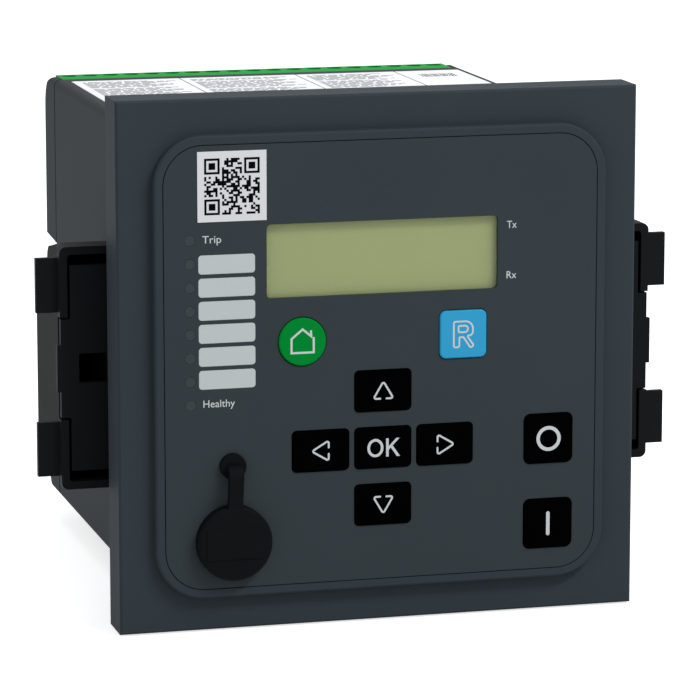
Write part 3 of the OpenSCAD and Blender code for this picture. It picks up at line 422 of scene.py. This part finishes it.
# The acrylic shows only by its reflections, which the polish leaves slightly uneven.
acrylic, tree = new_material("clear acrylic window")
place = add(tree, "ShaderNodeTexCoord")
polish = add(tree, "ShaderNodeTexNoise", {"Vector": (place, "Object"), "Scale": 1 / (polish_mm * MM)})
gloss = add(tree, "ShaderNodeMapRange", {"Value": (polish, "Fac"), "To Min": 0.05, "To Max": 0.12})
surface = add(tree, "ShaderNodeBsdfPrincipled", {
    "Base Color": linear("#f2f5ee"), "Roughness": (gloss, "Result"), "IOR": 1.49, "Alpha": 0.06})
add(tree, "ShaderNodeOutputMaterial", {"Surface": (surface, "BSDF")})
dress(["lcd_window"], acrylic)

# Keypad plate
# A thin sheet of grey polyester that lies inside the ridge, a little shinier than the frame round it.
# It has openings for the keys and the display, and plain function words printed in pale grey.
dress(["front_overlay"], moulded_plastic("polyester keypad plate, grey", "#343b3f", 0.5, relief_mm=0.006))
plate_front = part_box("front_overlay")[0].y
pale_ink = printed_ink("pale grey ink", "#c9cecd")
cap_mm, curve_steps = 2.05, 4


def word_faces(words, width_mm):
    """Flat (x, z) faces of a word in the built-in letters, fitted to the cap height and a width."""
    text = bpy.data.curves.new("word", "FONT")
    text.body = words
    text.resolution_u = curve_steps
    holder = bpy.data.objects.new("word", text)
    bpy.context.scene.collection.objects.link(holder)
    bpy.context.view_layer.update()
    mesh = holder.evaluated_get(bpy.context.evaluated_depsgraph_get()).to_mesh()
    faces = [[mesh.vertices[i].co.copy() for i in face.vertices] for face in mesh.polygons]
    holder.to_mesh_clear()
    bpy.data.objects.remove(holder)
    bpy.data.curves.remove(text)
    xs = [p.x for face in faces for p in face]
    tops = [p.y for face in faces for p in face]
    wide = width_mm * MM / (max(xs) - min(xs))
    tall = cap_mm * MM / max(tops)
    return [[((p.x - min(xs)) * wide, p.y * tall) for p in face] for face in faces]


def print_front(name, faces, at, y, material, body):
    """Print flat (x, z) faces on a surface that looks to the front, moved to a place on it."""
    placed = [[(at[0] + x, y, at[1] + z) for x, z in face] for face in faces]
    print_piece(name, placed, (0, -ink_lift, 0), material, body)


# Each word with its width, and its left end and base line on the plate.
for name, words, width_mm, x_mm, z_mm in (
        ("word_trip", "Trip", 5.4, -52.25, 35.85),
        ("word_healthy", "Healthy", 9.1, -52.25, -10.85),
        ("word_send", "Tx", 2.9, 36.5, 36.65),
        ("word_receive", "Rx", 2.9, 36.5, 22.15)):
    faces = word_faces(words, width_mm)
    print_front(name, faces, (x_mm * MM, z_mm * MM), plate_front, pale_ink, "housing")

# Indicators and writing fields
# Light guides run from the display board to the plate's surface, and inserts beside them take notes.
# The guides are smoked acrylic, which hides them in the plate's grey until they light.
dress(["indicator_lenses"], moulded_plastic("smoked acrylic", "#3c4145", 0.35, relief_mm=0.002))
# The inserts' polyester has the even, dull tooth that a pencil needs.
dress(["marking_fields"],
      moulded_plastic("writable polyester, pale grey", "#bbc1c0", 0.6, relief_mm=0.004, shade=0.02))

# Square label
# Vinyl film, a softer white than the top label, stuck on the plate and printed in black.
# A formula fills its block code, which has three corner marks and reads as nothing.
dress(["code_label"], label_film("vinyl film, white", "#d3d4d6", "#d7d8da"))
code_low, code_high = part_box("code_label")
code_n, code_margin = 25, 1.95 * MM
cell = (code_high.x - code_low.x - 2 * code_margin) / code_n
corner_n, corner_mid, black_rings = 7, 3, (0, 1, 3)
column_turn, row_turn, first_turn, code_spread, black_share = 12.99, 78.23, 1.7, 43758.55, 0.53


def code_cell(column, row):
    """Whether a cell of the block code is black."""
    right, top = code_n - 1 - column, code_n - 1 - row
    for u, v in ((column, row), (right, row), (column, top)):
        if u <= corner_n and v <= corner_n:
            return max(abs(u - corner_mid), abs(v - corner_mid)) in black_rings
    return scatter(column * column_turn + row * row_turn + first_turn, code_spread) < black_share


squares = []
for column in range(code_n):
    for row in range(code_n):
        if code_cell(column, row):
            x = code_low.x + code_margin + column * cell
            z = code_high.z - code_margin - (row + 1) * cell
            squares.append([(x, z), (x + cell, z), (x + cell, z + cell), (x, z + cell)])
print_front("code_print", squares, (0, 0), code_low.y, black_ink, "housing")

# Keys
# Caps that slide in the plate and press the silicone mat, each with its symbol printed on it.
# A fine mould gives their plastic a satin skin in deep, even colours.
black_cap = moulded_plastic("satin key plastic, black", "#010102", 0.6, relief_mm=0.004, specular=0.005)
green_cap = moulded_plastic("satin key plastic, green", "#01822f", 0.5, relief_mm=0.004, specular=0.02)
blue_cap = moulded_plastic("satin key plastic, blue", "#3399c5", 0.5, relief_mm=0.004, specular=0.02)
dress(["key_up", "key_down", "key_left", "key_right", "key_ok", "key_open", "key_close"], black_cap)
dress(["key_home"], green_cap)
dress(["key_reset"], blue_cap)
key_ink = printed_ink("key ink, pale grey", "#c5caca")


def bend(corners, closed):
    """Points of a line through corners (x, z, radius) in millimetres, each rounded to its radius."""
    least_steps, step_angle = 3, math.radians(12)
    points = []
    n = len(corners)
    for i, (x, z, radius) in enumerate(corners):
        here = Vector((x, z))
        if radius == 0 or (not closed and i in (0, n - 1)):
            points.append(here)
            continue
        to_last = (Vector(corners[i - 1][:2]) - here).normalized()
        to_next = (Vector(corners[(i + 1) % n][:2]) - here).normalized()
        half = to_last.angle(to_next) / 2
        centre = here + (to_last + to_next).normalized() * (radius / math.sin(half))
        start = here + to_last * (radius / math.tan(half)) - centre
        end = here + to_next * (radius / math.tan(half)) - centre
        turn = start.angle_signed(end)
        steps = max(least_steps, math.ceil(abs(turn) / step_angle))
        for k in range(steps + 1):
            a = -turn * k / steps
            points.append(centre + Vector((start.x * math.cos(a) - start.y * math.sin(a),
                                           start.x * math.sin(a) + start.y * math.cos(a))))
    return points


def stroke(corners, width, closed=False, round_ends=True):
    """Flat faces of a line of even width through rounded corners, as (x, z) in metres."""
    end_steps, shortest, sharpest = 8, 1e-9, 0.3
    points = bend(corners, closed)
    n = len(points)
    left, right = [], []
    for i, here in enumerate(points):
        before = points[i - 1] if closed or i else here
        after = points[(i + 1) % n] if closed or i < n - 1 else here
        ways = [w.normalized() for w in (here - before, after - here) if w.length > shortest]
        along = sum(ways, Vector((0, 0))).normalized()
        across = Vector((-along.y, along.x)) * (width / 2 / max(along.dot(ways[0]), sharpest))
        left.append(here + across)
        right.append(here - across)
    pairs = range(n) if closed else range(n - 1)
    faces = [[left[i], right[i], right[(i + 1) % n], left[(i + 1) % n]] for i in pairs]
    if round_ends and not closed:
        for end, inner in ((0, 1), (n - 1, n - 2)):
            out = (points[end] - points[inner]).normalized() * (width / 2)
            side = Vector((-out.y, out.x))
            faces.append([points[end] + out * math.sin(a) + side * math.cos(a)
                          for a in (math.pi * k / end_steps for k in range(end_steps + 1))])
    return [[(p.x * MM, p.y * MM) for p in face] for face in faces]


def oval(x_mid, half_w, half_h, n):
    """Corners of an oval round a point on the middle line."""
    return [(x_mid + half_w * math.cos(a), half_h * math.sin(a), 0)
            for a in (math.tau * k / n for k in range(n))]


def print_key(key, faces):
    """Print a symbol on the middle of a key's cap."""
    low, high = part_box(key)
    print_front(key + "_symbol", faces, ((low.x + high.x) / 2, (low.z + high.z) / 2), low.y, key_ink, key)


# Arrows: one open outline, turned for each of the four keys.
arrow_w, arrow_tip, arrow_base, arrow_gap = 2.95, 2.7, -2.25, 0.92
arrow_r, arrow_line = 0.45, 0.54
arrow = [(-arrow_gap, arrow_base, 0), (-arrow_w, arrow_base, arrow_r), (0, arrow_tip, arrow_r),
         (arrow_w, arrow_base, arrow_r), (arrow_gap, arrow_base, 0)]
for key, quarter_turns in (("key_up", 0), ("key_left", 1), ("key_down", 2), ("key_right", 3)):
    a = quarter_turns * math.pi / 2
    turned = [(x * math.cos(a) - z * math.sin(a), x * math.sin(a) + z * math.cos(a), r)
              for x, z, r in arrow]
    print_key(key, stroke(turned, arrow_line))

# Confirm: two plain letters.
letter_line = 0.76
letter_o = oval(x_mid=-2.33, half_w=1.99, half_h=2.27, n=48)
letter_k = [(0.82, -2.65), (1.58, -2.65), (1.58, -0.72), (2.2, -0.03), (3.98, -2.65), (4.92, -2.65),
            (2.74, 0.53), (4.82, 2.65), (3.85, 2.65), (1.58, 0.3), (1.58, 2.65), (0.82, 2.65)]
ok_faces = stroke(letter_o, letter_line, closed=True) + [[(x * MM, z * MM) for x, z in letter_k]]
print_key("key_ok", ok_faces)

# Home: a house in one line, with its chimney at the end.
house_line = 0.6
house = [(3.2, 1.25, 0), (3.2, -3.1, 0), (-3.25, -3.1, 0), (-3.25, 0.95, 0), (0, 3.6, 0), (2.5, 1.5, 0),
         (2.4, 3.2, 0)]
print_key("key_home", stroke(house, house_line, round_ends=False))

# Reset: a letter in outline, with its eye.
reset_line = 0.5
reset_body = [(-2.85, -3.7, 0.5), (-2.85, 3.7, 0.5), (2.8, 3.7, 2.15), (2.8, -0.45, 1.15),
              (1.0, -0.45, 0.3), (3.1, -3.35, 0.4), (2.1, -3.95, 0.4), (0.0, -0.85, 0.3),
              (-1.2, -0.85, 0.3), (-1.2, -3.7, 0.5)]
reset_eye = [(-1.45, 2.45, 0.3), (1.3, 2.45, 0.85), (1.3, 0.6, 0.85), (-1.45, 0.6, 0.3)]
reset_faces = stroke(reset_body, reset_line, closed=True) + stroke(reset_eye, reset_line, closed=True)
print_key("key_reset", reset_faces)

# Open and close: a ring and a bar.
ring_r, ring_line = 3.15, 1.02
print_key("key_open", stroke(oval(x_mid=0, half_w=ring_r, half_h=ring_r, n=64), ring_line, closed=True))
bar_half, bar_line = 3.02, 1.05
print_key("key_close", stroke([(0, -bar_half, 0), (0, bar_half, 0)], bar_line))

# Socket cap
# A rubber cap with a strap closes the service socket.
# The strap's anchor is pushed through the plate and the frame.
dress(["socket_cap", "cap_anchor"], rubber)

# Side clips
# Trays moulded in black glass-filled nylon with a dull shine, which press the panel against the frame.
# Each slides on the case's rail, with a leaf that catches its teeth and two ears for the fingers.
dress(["clip_left", "clip_right"], moulded_plastic("glass-filled nylon, black", "#141517", 0.55))

# Studio
# A floor of pale paper just under the frame's lower edge, in a white surround.
# Two soft lamps light it: a large one above, and a narrow one at the upper right front for the shadows.
floor_half, floor_gap = 4.0, 0.5 * MM
floor_z = cad_box[0].z - floor_gap
floor_mesh = bpy.data.meshes.new("floor")
floor_mesh.from_pydata([(-floor_half, -floor_half, floor_z), (floor_half, -floor_half, floor_z),
                        (floor_half, floor_half, floor_z), (-floor_half, floor_half, floor_z)],
                       [], [(0, 1, 2, 3)])
floor = bpy.data.objects.new("floor", floor_mesh)
bpy.context.scene.collection.objects.link(floor)
fibre_mm, floor_glow = 4, 0.7
# The paper is matt. It glows for the rays that show it, so that it looks white and keeps the shadow.
paper, tree = new_material("white studio paper")
place = add(tree, "ShaderNodeTexCoord")
fibre = add(tree, "ShaderNodeTexNoise", {"Vector": (place, "Object"), "Scale": 1 / (fibre_mm * MM)})
tone = add(tree, "ShaderNodeMix", {
    "Factor": (fibre, "Fac"), mix_a: linear("#d8d8d8"), mix_b: linear("#dddddd")}, data_type="RGBA")
matt = add(tree, "ShaderNodeBsdfDiffuse", {"Color": (tone, mix_out)})
glow = add(tree, "ShaderNodeEmission", {"Strength": floor_glow})
lit = add(tree, "ShaderNodeAddShader", {0: (matt, "BSDF"), 1: (glow, "Emission")})


def sight_rays(tree):
    """Add nodes that pick the rays that show a surround: the camera's, mirrored and refracted ones."""
    seen = add(tree, "ShaderNodeLightPath")
    bent = add(tree, "ShaderNodeMath", {
        0: (seen, "Is Glossy Ray"), 1: (seen, "Is Transmission Ray")}, operation="MAXIMUM")
    return add(tree, "ShaderNodeMath", {
        0: (seen, "Is Camera Ray"), 1: (bent, "Value")}, operation="MAXIMUM")


shown = add(tree, "ShaderNodeMixShader", {
    0: (sight_rays(tree), "Value"), 1: (matt, "BSDF"), 2: (lit, "Shader")})
add(tree, "ShaderNodeOutputMaterial", {"Surface": (shown, "Shader")})
floor_mesh.materials.append(paper)

fill_light = 0.7
world = bpy.data.worlds.new("white surround")
bpy.context.scene.world = world
world.use_nodes = True
tree = world.node_tree
tree.nodes.clear()
fill = add(tree, "ShaderNodeBackground", {"Color": linear("#f4f6fa"), "Strength": fill_light})
white = add(tree, "ShaderNodeBackground", {"Color": linear("#ffffff"), "Strength": 1.0})
shown = add(tree, "ShaderNodeMixShader", {
    0: (sight_rays(tree), "Value"), 1: (fill, "Background"), 2: (white, "Background")})
add(tree, "ShaderNodeOutputWorld", {"Surface": (shown, "Shader")})


def softbox(name, place, target, size, watts):
    """A flat lamp, given by its width and height, that looks at a point."""
    data = bpy.data.lights.new(name, "AREA")
    data.shape = "RECTANGLE"
    data.size, data.size_y = size
    data.energy = watts
    lamp = bpy.data.objects.new(name, data)
    bpy.context.scene.collection.objects.link(lamp)
    lamp.location = place
    lamp.rotation_euler = (Vector(target) - Vector(place)).to_track_quat("-Z", "Y").to_euler()


softbox("softbox_above", place=(0.0, 0.55, 1.2), target=(0, 0.05, 0), size=(0.8, 0.8), watts=3.5)
softbox("softbox_right", place=(0.62, -0.85, 1.17), target=(0, 0, 0), size=(0.7, 0.06), watts=12.6)

# Camera
# It stands at the front left, a little above the relay.
# A long lens keeps the frame's edges nearly parallel.
lens_mm, film_mm = 208.026, 36.0
down_deg, heading_deg = 10.6, -14.9316
camera_data = bpy.data.cameras.new("camera")
camera_data.lens = lens_mm
camera_data.sensor_width = film_mm
camera_data.clip_start = 0.05
camera = bpy.data.objects.new("camera", camera_data)
bpy.context.scene.collection.objects.link(camera)
camera.location = (-0.299356, -1.103573, 0.214031)
camera.rotation_euler = (math.radians(90 - down_deg), 0, math.radians(heading_deg))
bpy.context.scene.camera = camera
bpy.context.scene.view_settings.view_transform = "Standard"
